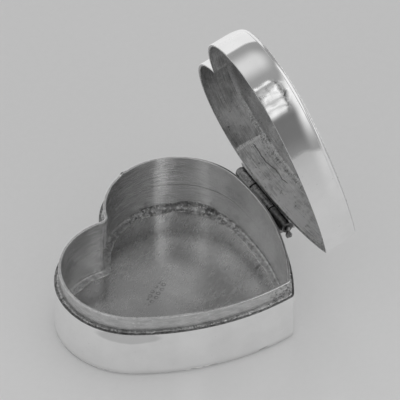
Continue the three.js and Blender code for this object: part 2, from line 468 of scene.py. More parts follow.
class Tree:
    """Short calls for building one node tree. Inputs may be numbers, tuples, sockets or Values."""

    def __init__(self, owner):
        owner.use_nodes = True
        self.tree = owner.node_tree
        self.tree.nodes.clear()

    def node(self, kind, inputs=None, **settings):
        made = self.tree.nodes.new(kind)
        for name, value in settings.items():
            setattr(made, name, value)
        for key, value in (inputs or {}).items():
            value = value.socket if isinstance(value, Value) else value
            if isinstance(value, bpy.types.NodeSocket):
                self.tree.links.new(value, made.inputs[key])
            else:
                made.inputs[key].default_value = value
        return made

    def calc(self, operation, *values):
        made = self.node("ShaderNodeMath", dict(enumerate(values)), operation=operation)
        return Value(self, made.outputs[0])

    def mix(self, share, a, b):
        made = self.node("ShaderNodeMix", {0: share, 2: a, 3: b}, data_type="FLOAT")
        return Value(self, made.outputs[0])

    def vector(self, operation, a, b, output="Vector"):
        made = self.node("ShaderNodeVectorMath", {0: a, 1: b}, operation=operation)
        return made.outputs[output]

    def dot(self, a, b):
        return Value(self, self.vector("DOT_PRODUCT", a, b, "Value"))

    def split(self, place):
        made = self.node("ShaderNodeSeparateXYZ", {0: place})
        return [Value(self, socket) for socket in made.outputs]

    def mapped(self, place, scale, turn=0.0, move=(0, 0, 0)):
        inputs = {"Vector": place, "Scale": scale, "Location": move,
                  "Rotation": (0, 0, math.radians(turn))}
        return self.node("ShaderNodeMapping", inputs).outputs[0]

    def places(self):
        made = self.node("ShaderNodeTexCoord").outputs
        return made["UV"], self.mapped(made["Object"], (1 / MM,) * 3)

    def stored(self, name):
        made = self.node("ShaderNodeAttribute", attribute_name=name)
        return Value(self, made.outputs["Fac"])

    def noise(self, place, scale, detail, rough, turn=0.0, move=0.0):
        """Noise around 0.5, with scale bumps a millimetre, or so many in each direction."""
        scale = scale if isinstance(scale, tuple) else (scale,) * 3
        made = self.node("ShaderNodeTexNoise", {
            "Vector": self.mapped(place, scale, turn, (move,) * 3),
            "Scale": 1.0, "Detail": detail, "Roughness": rough})
        return Value(self, made.outputs["Fac"])

    def patch(self, place, centre, size, soft):
        """1 inside a soft-edged ellipse of half sizes size about centre, and 0 outside."""
        shrink = (1 / size[0], 1 / size[1], 0)
        move = (-centre[0] / size[0], -centre[1] / size[1], 0)
        shifted = self.mapped(place, shrink, move=move)
        away = Value(self, self.vector("LENGTH", shifted, (0, 0, 0), "Value"))
        return away.remap(1 - soft, 1 + soft, 1.0, 0.0)

    def line(self, place, start, end, width):
        """1 on a line between two places, fading over width, and 0 off it."""
        run = (end[0] - start[0], end[1] - start[1])
        length = math.hypot(*run)
        way = (run[0] / length, run[1] / length)
        from_start = self.vector("SUBTRACT", place, (*start, 0))
        along = self.dot(from_start, (*way, 0))
        across = self.dot(from_start, (-way[1], way[0], 0))
        near = abs(across).remap(width * 0.4, width, 1.0, 0.0)
        return near * (along.remap(-0.3, 0.3) * along.remap(length - 0.3, length + 0.3, 1.0, 0.0))

    def wandering(self, place, size, reach):
        """place shifted a little sideways here and there, which makes straight edges uneven."""
        made = self.node("ShaderNodeTexNoise", {"Vector": place, "Scale": 1 / size, "Detail": 3.0})
        centred = self.vector("SUBTRACT", made.outputs["Color"], (0.5, 0.5, 0.5))
        return self.vector("ADD", place, self.vector("MULTIPLY", centred, (reach * 2,) * 3))

    def painted_foot_shade(self, place):
        """1 at the table and 0 a little way up the wall: where painted shade darkens the foot, for the
        contact shadow seen at the bottom edge.
        """
        return self.split(place)[2].remap(0.2, 1.5, 1.0, 0.0)

    def silver(self, colour, roughness, relief, strength, depth=0.05, brushed=0.0, metallic=1.0):
        """The metal's shader. depth is that of the bumps in mm; brushed stretches its
        highlights across the strip."""
        bump = self.node("ShaderNodeBump", {
            "Height": relief, "Strength": strength, "Distance": depth * MM})
        inputs = {"Base Color": self.calc("MINIMUM", colour, BRIGHTEST), "Metallic": metallic,
                  "Roughness": roughness, "Normal": bump.outputs[0]}
        if brushed:
            tangent = self.node("ShaderNodeTangent", direction_type="UV_MAP", uv_map="UVMap")
            inputs.update({"Anisotropic": brushed, "Anisotropic Rotation": 0.25,
                           "Tangent": tangent.outputs[0]})
        shader = self.node("ShaderNodeBsdfPrincipled", inputs)
        self.node("ShaderNodeOutputMaterial", {"Surface": shader.outputs[0]})


def new_material(name, draw, *settings):
    """A material whose nodes are drawn by draw(t, uv, place): t is its tree, uv is millimetres
    along and across the sheet, and place is where a point is on the piece, in millimetres."""
    material = bpy.data.materials.new(name)
    tree = Tree(material)
    draw(tree, *tree.places(), *settings)
    return material


# ---------------------- materials


def polished_silver(t, uv, place, foot_shaded=False):
    """Mirror-bright silver with hairline scratches and faint clouding; if asked, painted shade darkens
    it near the table, for the contact shadow.
    """
    scratch = t.noise(uv, (0.35, 9, 1), 3, 0.6, turn=12) + t.noise(uv, (8, 0.4, 1), 3, 0.6, turn=-20)
    cloud = t.noise(place, 0.22, 4, 0.55)
    pits = t.noise(place, 2.3, 1, 0.4).remap(0.74, 0.80)
    colour = cloud.remap(0.3, 0.7, 0.90, BRIGHTEST).shade((pits, 0.82))
    # Painted shade near the table, for the contact shadow.
    if foot_shaded:
        colour = colour.shade((t.painted_foot_shade(place), 0.8))
    roughness = (cloud + scratch * 0.25).remap(0.5, 1.1, 0.035, 0.085)
    t.silver(colour, roughness, scratch, 0.05, 0.04)


def outer_wall(t, uv, place):
    """Outside of the base: polished, with a stain under the ledge, a nick near the table, and painted
    shade near the table for the contact shadow.
    """
    hair = t.noise(uv, (0.35, 9, 1), 3, 0.6, turn=12)
    cloud = t.noise(place, 0.22, 4, 0.55)
    stain = t.patch(t.wandering(uv, 1.5, 0.16), STAIN_AT, STAIN_SIZE, 0.16)
    pits = t.noise(place, 2.3, 1, 0.4).remap(0.75, 0.80)
    nick = t.line(uv, *NICK, 0.09)
    colour = cloud.remap(0.3, 0.7, 0.90, BRIGHTEST)
    # The last but one change is painted shade near the table, for the contact shadow.
    colour = colour.shade((pits, 0.85), (stain, 0.78), (t.painted_foot_shade(place), 0.76), (nick, 0.25))
    t.silver(colour, cloud.remap(0.3, 0.7, 0.035, 0.08), hair * 0.05, 1.0, 0.06)


def satin_collar(t, uv, place):
    """Outside of the collar: fine lengthwise brushing, rubbed bright by the lid, and dark
    solder near the tip of the heart."""
    brush = t.noise(uv, (0.25, 11, 1), 4, 0.65)
    rub = t.noise(uv, (0.5, 1.2, 1), 3, 0.6)
    mottle = t.noise(place, 2.4, 3, 0.7)
    to_tip = (t.split(place)[1] + mottle * 2.0).remap(POINT_Y + 2.4, POINT_Y + 4.6, 1.0, 0.0)
    clots = to_tip * mottle.remap(0.36, 0.56, 1.0, 0.0)
    flecks = t.noise(place, 1.5, 2, 0.5, move=9).remap(0.66, 0.74)
    colour = (brush * 0.5 + rub).remap(0.5, 1.0, 0.47, 0.65).shade((clots, 0.3), (flecks, 1.35))
    t.silver(colour, brush.remap(0.3, 0.7, 0.2, 0.34), brush + clots * 1.5, 0.25, brushed=0.5)


def collar_rim(t, _, place):
    """Top edge of the collar: filed flat and scuffed by the lid, duller towards the tip and
    the hinge, with a dark lump of solder at one lobe."""
    scuff = t.noise(place, 1.1, 4, 0.65)
    near_tip = (t.split(place)[1] + scuff * 6.0).remap(POINT_Y + 7.0, POINT_Y + 18.0, 1.0, 0.0)
    flank = t.dot(place, FLANK_WAY).remap(14.0, 19.0)
    nub = t.patch(place, NUB_PLACE, (0.7, 0.7), 0.3)
    colour = scuff.remap(0.35, 0.65, 0.76, BRIGHTEST)
    colour = colour.shade((near_tip, 0.96), (nub, 0.3), (flank, 0.6))
    roughness = t.mix(near_tip, 0.1, 0.26) + scuff * 0.1
    t.silver(colour, roughness, scuff, t.mix(near_tip, 0.15, 0.5), 0.08)


def satin_inside(t, uv, place):
    """Brushed, slightly dulled inside of the base, with solder left in the cleft. The flank
    by the hinge is paler, and one strip of the lobe is rubbed smooth."""
    brush = t.noise(uv, (0.12, 8, 1), 4, 0.7)
    broad = t.noise(place, 0.16, 3, 0.55)
    scuff = t.noise(uv, (0.35, 3.2, 1), 4, 0.75, turn=4) * 0.8
    drag = t.noise(uv, (0.22, 5.5, 1), 2, 0.6, turn=-4, move=2).remap(0.53, 0.62)
    cut = t.noise(uv, (0.25, 6.5, 1), 2, 0.6, turn=3, move=7).remap(0.58, 0.68)
    streaks = t.noise(place, (3.0, 3.0, 0.45), 3, 0.65)
    x, y, _ = t.split(place)
    cleft = abs(x).remap(0.7, 1.6, 1.0, 0.0) * y.remap(0.0, 2.0)
    flank = t.dot(place, FLANK_WAY).remap(12.0, 22.0)
    rubbed = abs(t.split(uv)[0] - RUBBED_AT).remap(1.2, 5.5, 1.0, 0.0)
    colour = (brush * 0.5 + (broad + scuff)).remap(0.95, 1.35, 0.6, 0.86)
    colour = colour.shade((flank, 1.3), (rubbed, 1.2), (drag, 1.7), (cut, 0.66),
                          (cleft * streaks.remap(0.40, 0.52, 1.0, 0.0), 0.45),
                          (cleft * streaks.remap(0.56, 0.66), 1.25))
    roughness = brush.remap(0.3, 0.7, 0.15, 0.24).shade((rubbed, 0.6))
    t.silver(colour, roughness, brush + scuff, 0.7, 0.1, 0.6, t.mix(flank, 1.0, 0.72))


def satin_floor(t, _, place):
    """Inside face of the floor: satin, with faint curved marks of a polishing brush and a
    few small plain punch marks. Painted light: its tone grows lighter towards the hinge's
    side and darker on the other, for the light and dark that the floor reflects."""
    x, y, _ = t.split(t.vector("SUBTRACT", place, (*BRUSH_CENTRE, 0)))
    away = t.calc("SQRT", x * x + y * y)
    swirl = t.node("ShaderNodeCombineXYZ", {0: t.calc("ARCTAN2", y, x) * 1.6, 1: away}).outputs[0]
    arcs = t.noise(swirl, (1, 2.2, 1), 3, 0.6) * away.remap(3.0, 9.0, 1.0, 0.25)
    broad = t.noise(place, 0.13, 3, 0.5)
    fine = t.noise(place, (0.5, 1.9, 1.0), 4, 0.6, turn=-20)
    # Painted light: a lighter and a darker side, for the tones the floor reflects.
    painted_light_gradient = t.dot(place, (0.75, -0.2, 0)).remap(-14.0, 13.0, 0.72, 1.3)
    cells = t.node("ShaderNodeTexVoronoi", {"Vector": place, "Scale": 0.85, "Randomness": 0.35},
                   feature="F1", voronoi_dimensions="2D")
    rings = abs(Value(t, cells.outputs["Distance"]) - 0.27).remap(0.05, 0.13, 1.0, 0.0)
    punched = t.patch(place, PUNCHED_AT, PUNCHED_SIZE, 0.2) * rings
    smear = t.line(t.wandering(place, 1.0, 0.3), *SMEAR, 0.35)
    stain = t.patch(place, (9.6, -1.6), (2.2, 5.0), 0.7)
    worn = t.patch(place, (3.0, -11.0), (4.5, 4.5), 0.7)
    dull = t.patch(place, (11.0, -12.0), (3.5, 3.0), 0.7)
    colour = (arcs * 0.8 + (broad + fine * 0.25)).remap(0.55, 1.2, 0.56, 0.8) * painted_light_gradient
    colour = colour.shade((punched, 0.6), (smear, 0.6), (stain, 0.78), (worn, 1.2), (dull, 0.86))
    t.silver(colour, fine.remap(0.3, 0.7, 0.22, 0.29), arcs + punched * 3.0, 0.12)


def lid_inside(t, uv, place):
    """Inside of the lid's wall: dark, brushed lengthwise and pitted. The strip's two ends
    meet in a soldered seam, and a crack runs from it along the paler flank."""
    along = t.split(uv)[0]
    brush = t.noise(uv, (0.15, 7, 1), 4, 0.7) * 0.6
    broad = t.noise(place, 0.2, 4, 0.6)
    mottle = t.noise(uv, (0.7, 1.6, 1), 4, 0.7)
    pits = t.noise(place, 1.9, 2, 0.5).remap(0.66, 0.72)
    specks = t.noise(place, 4.2, 2, 0.6, move=3).remap(0.52, 0.60)
    flecks = t.noise(place, 3.0, 3, 0.6, move=6).remap(0.60, 0.68)
    seam = t.line(t.wandering(uv, 1.2, 0.22), *SEAM, 0.42)
    crack = t.line(t.wandering(uv, 3.0, 0.9), *CRACK, 0.1)
    flank = along.remap(SEAM_AT - 0.15, SEAM_AT + 0.15, 1.0, 0.0) * along.remap(3.0, 16.0, 0.8, 1.0)
    bright = seam * specks
    shade = brush + (broad * 0.7 + mottle * 0.4)
    colour = shade.remap(0.65, 1.05, 0.38, 0.92) * t.mix(flank, 0.92, 1.28)
    colour = colour.shade((pits, 0.4), (crack, 0.22), (seam, 1.35), (bright, 2.6),
                          (along.remap(0.3, 1.5, 1.0, 0.0), 0.5), (flecks, 1.4))
    roughness = brush.remap(0.18, 0.42, 0.26, 0.4)
    relief = brush + bright * 2.0 - (crack + pits) * 2.0
    matt = t.calc("MINIMUM", flank * 0.26 + seam * 0.3 + bright * 0.7, 1.0)
    t.silver(colour, roughness, relief, 0.5, brushed=0.5, metallic=1.0 - matt)


def pressed_back(t, _, place):
    """Inside face of the lid's top, the back of the pressed pattern."""
    grain = t.noise(place, (1.2, 4, 4), 4, 0.65)
    broad = t.noise(place, 0.22, 4, 0.6)
    pits = t.noise(place, 2.1, 2, 0.5).remap(0.62, 0.72)
    colour = (grain * 0.7 + broad).remap(0.55, 1.15, 0.5, BRIGHTEST).shade((pits, 0.45))
    t.silver(colour, grain.remap(0.3, 0.7, 0.26, 0.42), grain, 0.4)


def pressed_top(t, _, place):
    """Outside of the lid's top: bright on the raised work, dark where tarnish is left."""
    grain = t.noise(place, 2.2, 4, 0.6)
    raised = (t.stored("relief") + grain * 0.15).remap(0.1, 0.5)
    t.silver(t.mix(raised, 0.3, 0.92), t.mix(raised, 0.34, 0.12), grain, 0.2)


def tarnish(t, uv, place, low, high, roughness=0.42, grain=1.2):
    """Grey-black tarnish with worn lighter places and dug-in scratches. Some materials drawn with it
    are painted shade, or tarnish and painted shade together.
    """
    mottle = t.noise(place, grain, 5, 0.65)
    shade = t.noise(uv, (0.5, 6, 1), 4, 0.7) * 0.5 + mottle
    rough = mottle.remap(0.3, 0.7, roughness - 0.1, roughness + 0.12)
    t.silver(shade.remap(0.5, 1.05, low, high), rough, shade, 0.5, 0.1)


def solder(t, _, place, low, high, size, burnt_above=None):
    """Solder: grey skin with dark burnt clots and bright bare specks where it is heaped."""
    heaped = t.stored("heaped")
    mottle = t.noise(place, size, 4, 0.7)
    broad = t.noise(place, size * 0.3, 3, 0.6, move=5)
    specks = t.noise(place, size * 1.7, 2, 0.6, move=8).remap(0.54, 0.62) * heaped
    clots = (mottle * 0.6 + broad * 0.6).remap(0.50, 0.62, 1.0, 0.0) * heaped
    colour = mottle.remap(0.3, 0.7, low, high).shade((clots, 0.42), (specks, 2.0))
    if burnt_above is not None:
        burnt = t.split(place)[2] + broad * 0.8
        colour = colour.shade((burnt.remap(burnt_above, burnt_above + 0.6), 0.72))
    relief = mottle * t.mix(heaped, 0.3, 1.0) + specks
    t.silver(colour, mottle.remap(0.3, 0.7, 0.42, 0.26), relief, 0.5, 0.1,
             metallic=t.mix(specks, 1.0, 0.45))


POLISHED = new_material("polished_silver", polished_silver)
# The floor plate's outside also gets painted shade near the table.
UNDERSIDE = new_material("underside", polished_silver, True)
WALL_OUT = new_material("outer_wall", outer_wall)
COLLAR_OUT = new_material("collar_outside", satin_collar)
RIM = new_material("collar_rim", collar_rim)
INSIDE = new_material("satin_inside", satin_inside)
FLOOR_IN = new_material("satin_floor", satin_floor)
LID_IN = new_material("lid_inside", lid_inside)
BACK = new_material("pressed_back", pressed_back)
TOP = new_material("pressed_top", pressed_top)
LEDGE_DARK = new_material("ledge_tarnish", tarnish, 0.08, 0.5, 0.36, 2.2)
HINGE_DARK = new_material("hinge_tarnish", tarnish, 0.14, 0.58, 0.3, 1.6)
FRONT_DARK = new_material("front_tarnish", tarnish, 0.12, 0.4, 0.36, 1.6)
# Painted shade: the knuckles' end faces and bores are drawn near-black, for the shadow they lie in.
BORE_SHADE = new_material("knuckle_end_shade", tarnish, 0.05, 0.18)
PIN_DARK = new_material("pin_tarnish", tarnish, 0.1, 0.42, 0.3, 1.6)
# Tarnish on the lid's leaf, kept dark also as painted shade for the gap between the knuckles and the
# lid.
LEAF_DARK = new_material("leaf_tarnish_and_shade", tarnish, 0.35, 0.85, 0.36)
LID_RIM = new_material("lid_rim", tarnish, 0.3, 0.6, 0.3)
# Painted shade: the inner foot of the collar is drawn dark, for the shadow under its bottom edge.
COLLAR_FOOT_SHADE = new_material("collar_foot_shade", tarnish, 0.35, 0.6, 0.3)
LEDGE_SOLDER = new_material("ledge_solder", solder, 0.3, 0.85, 3.0)
FLOOR_SOLDER = new_material("floor_solder", solder, 0.5, 0.88, 1.5, FLOOR_T + 0.55)
LID_SOLDER = new_material("lid_solder", solder, 0.6, 0.92, 3.0)

# ---------------------- base


def plate_rows(outer, shares, heights):
    """Rings that shrink from an outline towards the middle of the dome or floor."""
    return [at_height(DOME_CENTRE + (outer - DOME_CENTRE) * share, height)
            for share, height in zip(shares, heights)]


def base_floor():
    under, _ = heart_outline(-FLOOR_EDGE_R)
    shares = np.concatenate([np.linspace(0.05, 0.97, 16), [0.995]])
    rows = plate_rows(under, shares, np.zeros(len(shares)))
    for angle in np.radians(np.linspace(0, 90, 7)):
        rows.append(ring(-FLOOR_EDGE_R * (1 - math.sin(angle)), FLOOR_EDGE_R * (1 - math.cos(angle))))
    near = 0.04
    rows += [ring(0, FLOOR_T - near), ring(0, FLOOR_T), ring(-near, FLOOR_T)]
    polished_rows = len(rows) - 1
    rows.append(ring(-BASE_WALL_T + 0.05, FLOOR_T))
    inner, _ = heart_outline(-BASE_WALL_T)
    shares = np.linspace(1, 0.03, FLOOR_ROWS)
    plate = np.array(plate_rows(inner, shares, np.full(FLOOR_ROWS, FLOOR_T)))
    dish = bumps(plate, 9.0, 11) * 0.03 + bumps(plate, 3.2, 12) * 0.006
    plate[:, :, 2] += dish * (1 - shares ** 8)[:, None]
    grid = np.concatenate([np.array(rows), plate])
    finishes = [0] * polished_rows + [1] * (len(grid) - 1 - polished_rows)
    tips = [*DOME_CENTRE, 0.0], [*DOME_CENTRE, plate[-1, :, 2].mean()]
    skin = Skin()
    skin.add_rows_and_tips(grid, AROUND, lengths_across(grid), finishes, tips, (1.0, 0.5))
    skin.build("floor_plate", "base", [UNDERSIDE, FLOOR_IN], "base_floor")


def strip_piece(name, body, node, materials, corners, push, step=0.7, bend=None, crest=0):
    """A strip of sheet that follows the heart, with a rounded section. push moves its points
    sideways, bend moves the section's points, and crest raises its top edge."""
    section, finishes = rounded_section(corners, step)
    if bend:
        section = np.array([bend(*spot) for spot in section])
    grid = []
    for offset, height in section:
        flat, facing = heart_outline(offset)
        spots = at_height(flat, height)
        spots[:, :2] += facing * push(spots)[:, None]
        grid.append(spots)
    grid = np.array(grid)
    grid[:, :, 2] += crest * (section[:, 1:] > section[:, 1].max() - CREST)
    skin = Skin()
    skin.add_rows(grid, AROUND, lengths_around(section), finishes)
    skin.build(name, body, materials, node)


def base_wall():
    corners = [
        (0, FLOOR_T, 0.02, 0),
        (0, LEDGE_Z, 0.1, 1),
        (-BASE_WALL_T, LEDGE_Z, 0.05, 2),
        (-BASE_WALL_T, FLOOR_T, 0.02, 2),
    ]
    strip_piece("base_wall", "base", "base_band", [WALL_OUT, LEDGE_DARK, INSIDE], corners,
                hand_finish(0.02, 21))


def collar():
    outer, inner = -COLLAR_INSET, -COLLAR_INSET - COLLAR_T
    corners = [
        (outer, COLLAR_BOTTOM, 0.05, 0),
        (outer, COLLAR_TOP, 0.13, 1),
        (inner, COLLAR_TOP, 0.13, 2),
        (inner, COLLAR_BOTTOM, 0.2, 3),
    ]
    # The collar's inner foot takes the painted shade.
    strip_piece("collar_strip", "base", "collar_band", [COLLAR_OUT, RIM, INSIDE, COLLAR_FOOT_SHADE],
                corners, hand_finish(0.025, 31), crest=NUB_H * bell(NUB_AT, NUB_WIDTH))


# ---------------------- solder


def solder_piece(name, body, grid, width, heaped, material):
    """Closes rows of points into a piece, and stores how heaped the solder is at each station."""
    skin = Skin()
    skin.add_rows(grid, AROUND, np.linspace(0, width, len(grid) + 1), [0] * len(grid))
    piece = skin.build(name, body, [material])
    store(piece, "heaped", np.tile(heaped, len(grid)))


def room_under_lid(offset):
    """Height above the ledge that the rounded rim of the shut lid leaves free."""
    into = np.clip(offset + LID_WALL_T + 0.04, 0, RIM_ROUND)
    rise = RIM_ROUND - np.sqrt(RIM_ROUND ** 2 - (RIM_ROUND - into) ** 2)
    return LID_RIM_Z - LEDGE_Z + rise - ROOM


def ledge_solder():
    """The lumpy bead of solder along the foot of the collar."""
    foot = -COLLAR_INSET - 0.04
    flat, facing = heart_outline(foot)
    spots = at_height(flat, LEDGE_Z)
    lump = 0.55 + 0.5 * bumps(spots, 0.75, 41) + 0.35 * bumps(spots, 0.35, 42)
    lump = np.clip(lump, 0.05, 1.15)
    wide = 0.16 + 0.3 * lump
    tall = 0.05 + 0.13 * lump
    rows = [at_height(flat, LEDGE_Z - 0.03)]
    for angle in np.radians(np.linspace(0, 90, 13)):
        dent = 1 + 0.18 * bumps(spots + UP * angle, 0.4, 43)
        sideways = 0.04 + wide * dent * math.cos(angle)
        height = np.minimum(tall * dent * math.sin(angle), room_under_lid(foot + sideways))
        rows.append(at_height(flat + facing * sideways[:, None], LEDGE_Z + height))
    rows.append(at_height(flat, LEDGE_Z + tall * 0.9))
    heaped = np.clip(0.75 + 0.6 * bumps(spots, 4.0, 44), 0.3, 1)
    solder_piece("ledge_solder", "base", np.array(rows), 0.5, heaped, LEDGE_SOLDER)


def fillet_rows(wall, inner, climb, spread, heaped, corner, sign, seed):
    """Rows across a hollow skin of solder from a wall to a plate. wall and inner are outlines
    at the wall and SOLDER_REACH inside it; sign is 1 for a plate below and -1 for one above."""
    rows = []
    for step in np.linspace(0, 1, 13):
        angle = step * math.pi / 2
        inset = spread * (1 - math.cos(angle)) ** HOLLOW
        height = climb * (1 - math.sin(angle)) ** HOLLOW
        plan = wall + (inner - wall) * (inset / SOLDER_REACH)[:, None]
        spots = at_height(plan, corner + sign * height)
        lump = 0.5 + 0.3 * bumps(spots, 1.3, seed + 2)
        lump += heaped * (0.5 * bumps(spots, 0.8, seed) + 0.3 * bumps(spots, 0.35, seed + 1))
        skin = SOLDER_T * np.clip(lump, 0.15, 1.3) * (0.4 + 0.6 * heaped) * min(1.0, 3 * step + 0.05)
        spots[:, :2] += (inner - wall) * (skin * math.cos(angle) / SOLDER_REACH)[:, None]
        spots[:, 2] += sign * skin * math.sin(angle)
        rows.append(spots)
    edge = rows[-1].copy()
    edge[:, 2] = corner - sign * SOLDER_LAP
    back = wall - (inner - wall) * 0.02
    rows += [edge, at_height(back, corner - sign * SOLDER_LAP), at_height(back, corner + sign * climb)]
    return np.array(rows)


def solder_outlines(offset):
    """Outlines just inside a wall whose inner face is at offset, and SOLDER_REACH from it."""
    return heart_outline(offset + SOLDER_BITE)[0], heart_outline(offset - SOLDER_REACH)[0]


def floor_solder():
    """Solder run into the joint between the wall and the floor: a thin hollow skin that climbs
    the wall and ends in a lip on the floor, heaped at the back of one lobe."""
    wall, inner = solder_outlines(-BASE_WALL_T)
    spots = at_height(wall, FLOOR_T)
    heaped = bell(37.5, 5.5) + 0.8 * bell(47, 5) + 0.5 * bell(30, 5) + 0.5 * bell(53, 3)
    heaped = np.clip(heaped + 0.35 * bumps(spots, 4.0, 52), 0.15, 1)
    climb = 0.45 + 0.6 * heaped + 0.15 * bumps(spots, 1.6, 51)
    climb += heaped * (0.4 * bumps(spots, 2.4, 45) + 0.4 * bumps(spots, 0.8, 46))
    climb = np.clip(climb + 1.2 * bell(41, 2.4) + 0.8 * bell(36, 3.8), 0.3, 2.9)
    spread = 1.25 + 0.35 * bumps(spots, 3.0, 47) + 0.12 * bumps(spots, 0.9, 48)
    grid = fillet_rows(wall, inner, climb, spread, heaped, FLOOR_T + 0.02, 1, 49)
    solder_piece("floor_solder", "base", grid[::-1], 4, heaped, FLOOR_SOLDER)


def lid_solder():
    """Solder in the joint between the lid's wall and its top."""
    wall, inner = solder_outlines(-LID_WALL_T - LEAN)
    spots = at_height(wall, SEAM_Z)
    heaped = np.clip(1.2 * bell(31, 6) + 0.5 * bell(22, 5) + 0.3 * bumps(spots, 5.0, 60), 0.05, 1)
    climb = 1.1 + heaped * (0.5 + 0.5 * bumps(spots, 2.0, 55) + 0.4 * bumps(spots, 0.7, 56))
    spread = 1.2 + heaped * (0.6 + 0.5 * bumps(spots, 2.0, 57) + 0.3 * bumps(spots, 0.7, 58))
    climb = np.clip(climb, 0.6, 2.4)
    grid = fillet_rows(wall, inner, climb, spread, heaped, SEAM_Z + 0.62, -1, 59)
    solder_piece("lid_solder", "lid", grid, 4, heaped, LID_SOLDER)


# ---------------------- lid


def lean_in(offset, height):
    """The upper part of the lid's wall is polished over towards the shoulder."""
    share = max(0.0, height - SEAM_Z + LEAN_H) / LEAN_H
    return offset - LEAN * share ** 2, height


def lid_finish(spots):
    """The lid's wall is uneven like the base's, and has a group of small dents at one lobe."""
    even = hand_finish(0.025, 51)(spots)
    near = np.exp(-(((spots[:, :2] - DENTS_AT) / DENTS_SIZE) ** 2).sum(1))
    return even + near * (0.03 * bumps(spots, 1.7, 53) + 0.014 * bumps(spots, 0.8, 54))


def lid_wall():
    corners = [
        (0, LID_RIM_Z, 0.07, 0),
        (0, SEAM_Z, 0.01, 1),
        (-LID_WALL_T, SEAM_Z, 0.01, 1),
        (-LID_WALL_T, LID_RIM_Z, RIM_ROUND, 2),
    ]
    strip_piece("lid_wall", "lid", "lid_band", [POLISHED, LID_IN, LID_RIM], corners,
                lid_finish, 0.35, lean_in)


def spiral(x, y, size, start, turns, hand):
    angles = np.linspace(0, 2 * math.pi * turns, 40)
    radius = size * (1 - angles / angles[-1] * 0.85)
    return np.stack([x + radius * np.cos(start + hand * angles),
                     y + radius * np.sin(start + hand * angles)], 1)


def line_distance(points, line):
    """Distance from each point to a line through many places."""
    best = np.full(len(points), np.inf)
    for a, b in zip(line[:-1], line[1:]):
        ab = b - a
        share = np.clip((points - a) @ ab / (ab @ ab), 0, 1)
        best = np.minimum(best, np.linalg.norm(points - a - share[:, None] * ab, axis=1))
    return best


def relief_height(points, shares, seed):
    """Height of the pressed pattern, 0 to 1, without its border: scrolls and a flower on a
    grained ground."""
    flat = points[:, :2]
    mirrored = np.abs(flat) * [1, 0] + flat * [0, 1]
    height = 0.28 * (0.5 + 0.5 * bumps(points, 0.5, seed))
    for scroll in SCROLLS:
        away = line_distance(mirrored, spiral(*scroll))
        height = np.maximum(height, np.exp(-(away / SCROLL_W) ** 2))
    x, y = (flat - FLOWER_AT).T
    radius = np.hypot(x, y)
    petals = PETAL_REACH + PETAL_DEPTH * np.cos(PETALS * np.arctan2(y, x))
    flower = np.clip(1.2 - radius / petals, 0, 1) ** 0.5
    height = np.maximum(height, flower)
    return height * np.clip((0.86 - shares) / 0.04, 0, 1)


def lid_top_half(inset):
    """Rings from the foot of the shoulder to the crown. inset goes inwards from the outside."""
    radius = SHOULDER_R - inset
    centre = -LEAN - SHOULDER_R * math.cos(LEAN_ANGLE)
    low = SEAM_Z - SHOULDER_R * math.sin(LEAN_ANGLE)
    shoulder = [ring(centre + radius * math.cos(angle), low + radius * math.sin(angle))
                for angle in np.linspace(LEAN_ANGLE, math.pi / 2 - DOME_START, SHOULDER_ROWS)]
    edge, start = shoulder[-1][:, :2], shoulder[-1][0, 2]
    shares = np.concatenate([np.linspace(0.995, 0.80, 34), np.linspace(0.79, 0.03, 70)])
    dome = plate_rows(edge, shares, start + (CROWN_Z - inset - start) * (1 - shares ** 2))
    return np.array(shoulder + dome), np.concatenate([np.ones(SHOULDER_ROWS), shares])


def lid_cover():
    outside, shares = lid_top_half(0.0)
    inside, _ = lid_top_half(LID_TOP_T)
    half = len(shares)
    height = relief_height(outside.reshape(-1, 3), np.repeat(shares, STATIONS), 61)
    wave = 0.5 + 0.5 * np.cos(AROUND[:-1] / AROUND[-1] * BEADS * 2 * math.pi)
    bead = np.exp(-((shares[:, None] - BEAD_SHARE) / BEAD_W) ** 2) * (0.35 + 0.65 * wave)
    height = np.maximum(height.reshape(half, STATIONS), bead)
    lift = RELIEF_H * height
    rough = bumps(outside, 1.1, 63) * 0.03 * np.clip((1 - shares) / 0.02, 0, 1)[:, None]
    outside[:, :, 2] += lift + rough
    inside[:, :, 2] += 0.7 * lift + rough
    # Down the inside from the crown, and up the outside.
    grid = np.concatenate([inside[::-1], outside])
    finishes = [2] * half + [0] * (SHOULDER_ROWS - 1) + [1] * (half - SHOULDER_ROWS)
    tips = [[*DOME_CENTRE, row[:, 2].mean()] for row in (grid[0], grid[-1])]
    skin = Skin()
    skin.add_rows_and_tips(grid, AROUND, lengths_across(grid), finishes, tips, (0.5, 0.5))
    piece = skin.build("lid_cover", "lid", [POLISHED, TOP, BACK], "lid_top")
    values = np.concatenate([height[::-1], height]).ravel()
    store(piece, "relief", [*values, values[0], values[-1]])


# ---------------------- hinge


def from_pin(outward, along, up):
    """Place of a point given in the hinge's own directions, with the lid shut."""
    outward, along, up = np.broadcast_arrays(outward, along, up)
    return (PIN_POINT + outward[..., None] * PIN_OUT + along[..., None] * PIN_AXIS
            + up[..., None] * UP)


def around_pin(section, wobble, seed):
    """Rings about the pin through (radius, along) points, dented a little."""
    angles = np.linspace(0, 2 * math.pi, RING_STEPS, endpoint=False)
    rows = []
    for radius, along in section:
        spots = from_pin(radius * np.cos(angles), along, -radius * np.sin(angles))
        dented = radius * (1 + wobble / max(radius, 0.3) * bumps(spots, 0.9, seed))
        rows.append(from_pin(dented * np.cos(angles), along, -dented * np.sin(angles)))
    return np.array(rows)


def knuckle(name, node, body, material):
    low, high, radius = pin_span(node)
    low, high = low + KNUCKLE_GAP, high - KNUCKLE_GAP
    bore = radius / 2
    # The end faces and the bore take the painted shade.
    corners = [(bore, low, 0.06, 1), (radius, low, 0.1, 0), (radius, high, 0.1, 1),
               (bore, high, 0.06, 1)]
    section, finishes = rounded_section(corners, 0.5)
    u = np.linspace(0, 2 * math.pi * radius, RING_STEPS + 1)
    skin = Skin()
    skin.add_rows(around_pin(section, 0.02, 71), u, lengths_around(section), finishes)
    skin.build(name, body, [material, BORE_SHADE], node)


